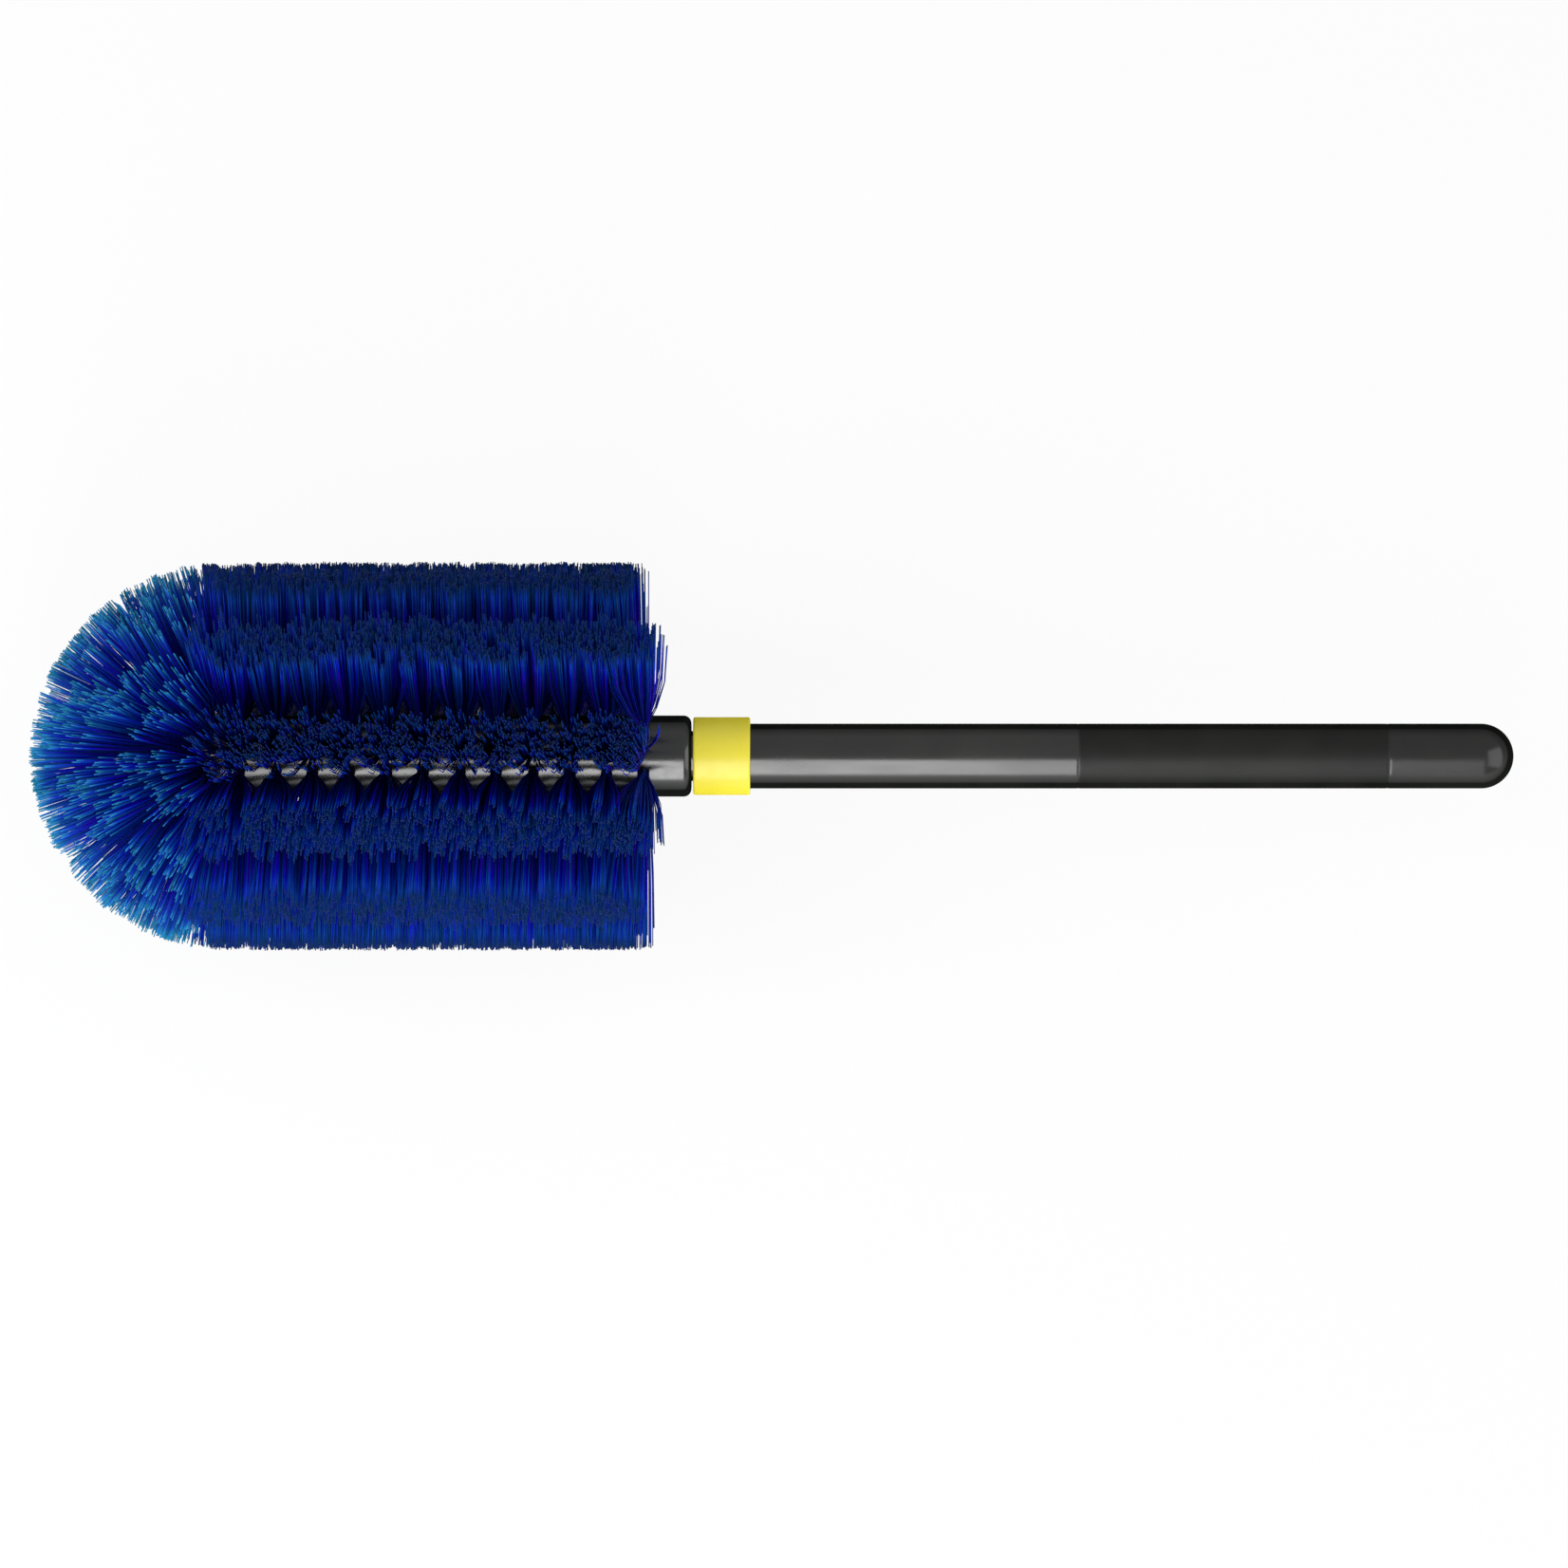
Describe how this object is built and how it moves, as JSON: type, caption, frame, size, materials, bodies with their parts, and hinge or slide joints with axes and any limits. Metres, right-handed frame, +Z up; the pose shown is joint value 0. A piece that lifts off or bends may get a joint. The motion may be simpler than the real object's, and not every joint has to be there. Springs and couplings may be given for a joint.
{
  "type": "wheel brush",
  "caption": "Round wheel cleaning brush: soft blue bristles set in a flexible core with a rounded tip, a yellow band and a straight black handle.",
  "frame": {"origin": "on the axis of the brush, in the middle of the straight grip of the handle", "axes": "+X along the brush toward the butt of the handle, with the bristled tip at -X; +Z up as the brush lies on its bristles; +Y completes the frame"},
  "size_m": [0.4569, 0.1188, 0.1182],
  "materials": {
    "handle_plastic": "satin black moulded plastic",
    "band_plastic": "smooth yellow moulded plastic",
    "core_plastic": "glossy black flexible plastic",
    "bristle": "glossy deep blue synthetic bristle",
    "steel": "plain steel"
  },
  "bodies": {
    "handle": {"handle_tube": "handle_plastic", "neck_band": "band_plastic", "core_collar": "core_plastic", "core_rod": "core_plastic", "reinforcing_rod": "steel", "retaining_pins": "steel"},
    "link_01": {"tuft_ring_01": "bristle", "staples_01": "steel"},
    "link_02": {"tuft_ring_02": "bristle", "staples_02": "steel"},
    "link_03": {"tuft_ring_03": "bristle", "staples_03": "steel"},
    "link_04": {"tuft_ring_04": "bristle", "staples_04": "steel"},
    "link_05": {"tuft_ring_05": "bristle", "staples_05": "steel"},
    "link_06": {"tuft_ring_06": "bristle", "staples_06": "steel"},
    "link_07": {"tuft_ring_07": "bristle", "staples_07": "steel"},
    "link_08": {"tuft_ring_08": "bristle", "staples_08": "steel"},
    "link_09": {"tuft_ring_09": "bristle", "staples_09": "steel"},
    "link_10": {"tuft_ring_10": "bristle", "staples_10": "steel"},
    "link_11": {"tuft_ring_11": "bristle", "staples_11": "steel"},
    "link_12": {"tuft_ring_12": "bristle", "staples_12": "steel", "tuft_tip": "bristle", "tip_staples": "steel"}
  },
  "joints": [
    {"name": "bend_side_01", "type": "hinge", "parent": "handle", "child": "link_01", "pos_m": [-0.13958, 0, 0], "axis": [0, 0, 1], "range_deg": [-5, 5], "stiffness_Nm_per_rad": 60, "deforming": ["core_rod", "reinforcing_rod"]},
    {"name": "bend_lift_02", "type": "hinge", "parent": "link_01", "child": "link_02", "pos_m": [-0.15082, 0, 0], "axis": [0, 1, 0], "range_deg": [-5, 5], "stiffness_Nm_per_rad": 60, "deforming": ["core_rod", "reinforcing_rod"]},
    {"name": "bend_side_03", "type": "hinge", "parent": "link_02", "child": "link_03", "pos_m": [-0.16207, 0, 0], "axis": [0, 0, 1], "range_deg": [-5, 5], "deforming": ["core_rod", "reinforcing_rod"]},
    {"name": "bend_lift_04", "type": "hinge", "parent": "link_03", "child": "link_04", "pos_m": [-0.17333, 0, 0], "axis": [0, 1, 0], "range_deg": [-5, 5], "deforming": ["core_rod", "reinforcing_rod"]},
    {"name": "bend_side_05", "type": "hinge", "parent": "link_04", "child": "link_05", "pos_m": [-0.18457, 0, 0], "axis": [0, 0, 1], "range_deg": [-5, 5], "deforming": ["core_rod", "reinforcing_rod"]},
    {"name": "bend_lift_06", "type": "hinge", "parent": "link_05", "child": "link_06", "pos_m": [-0.19582, 0, 0], "axis": [0, 1, 0], "range_deg": [-5, 5], "deforming": ["core_rod", "reinforcing_rod"]},
    {"name": "bend_side_07", "type": "hinge", "parent": "link_06", "child": "link_07", "pos_m": [-0.20708, 0, 0], "axis": [0, 0, 1], "range_deg": [-5, 5], "deforming": ["core_rod", "reinforcing_rod"]},
    {"name": "bend_lift_08", "type": "hinge", "parent": "link_07", "child": "link_08", "pos_m": [-0.21832, 0, 0], "axis": [0, 1, 0], "range_deg": [-5, 5], "deforming": ["core_rod", "reinforcing_rod"]},
    {"name": "bend_side_09", "type": "hinge", "parent": "link_08", "child": "link_09", "pos_m": [-0.22958, 0, 0], "axis": [0, 0, 1], "range_deg": [-5, 5], "deforming": ["core_rod", "reinforcing_rod"]},
    {"name": "bend_lift_10", "type": "hinge", "parent": "link_09", "child": "link_10", "pos_m": [-0.24083, 0, 0], "axis": [0, 1, 0], "range_deg": [-5, 5], "deforming": ["core_rod", "reinforcing_rod"]},
    {"name": "bend_side_11", "type": "hinge", "parent": "link_10", "child": "link_11", "pos_m": [-0.25207, 0, 0], "axis": [0, 0, 1], "range_deg": [-5, 5], "deforming": ["core_rod", "reinforcing_rod"]},
    {"name": "bend_lift_12", "type": "hinge", "parent": "link_11", "child": "link_12", "pos_m": [-0.26332, 0, 0], "axis": [0, 1, 0], "range_deg": [-5, 5], "deforming": ["core_rod", "reinforcing_rod"]}
  ],
  "couplings": [
    {"joint": "bend_side_03", "follows": "bend_side_01", "ratio": 1},
    {"joint": "bend_lift_04", "follows": "bend_lift_02", "ratio": 1},
    {"joint": "bend_side_05", "follows": "bend_side_01", "ratio": 1},
    {"joint": "bend_lift_06", "follows": "bend_lift_02", "ratio": 1},
    {"joint": "bend_side_07", "follows": "bend_side_01", "ratio": 1},
    {"joint": "bend_lift_08", "follows": "bend_lift_02", "ratio": 1},
    {"joint": "bend_side_09", "follows": "bend_side_01", "ratio": 1},
    {"joint": "bend_lift_10", "follows": "bend_lift_02", "ratio": 1},
    {"joint": "bend_side_11", "follows": "bend_side_01", "ratio": 1},
    {"joint": "bend_lift_12", "follows": "bend_lift_02", "ratio": 1}
  ]
}
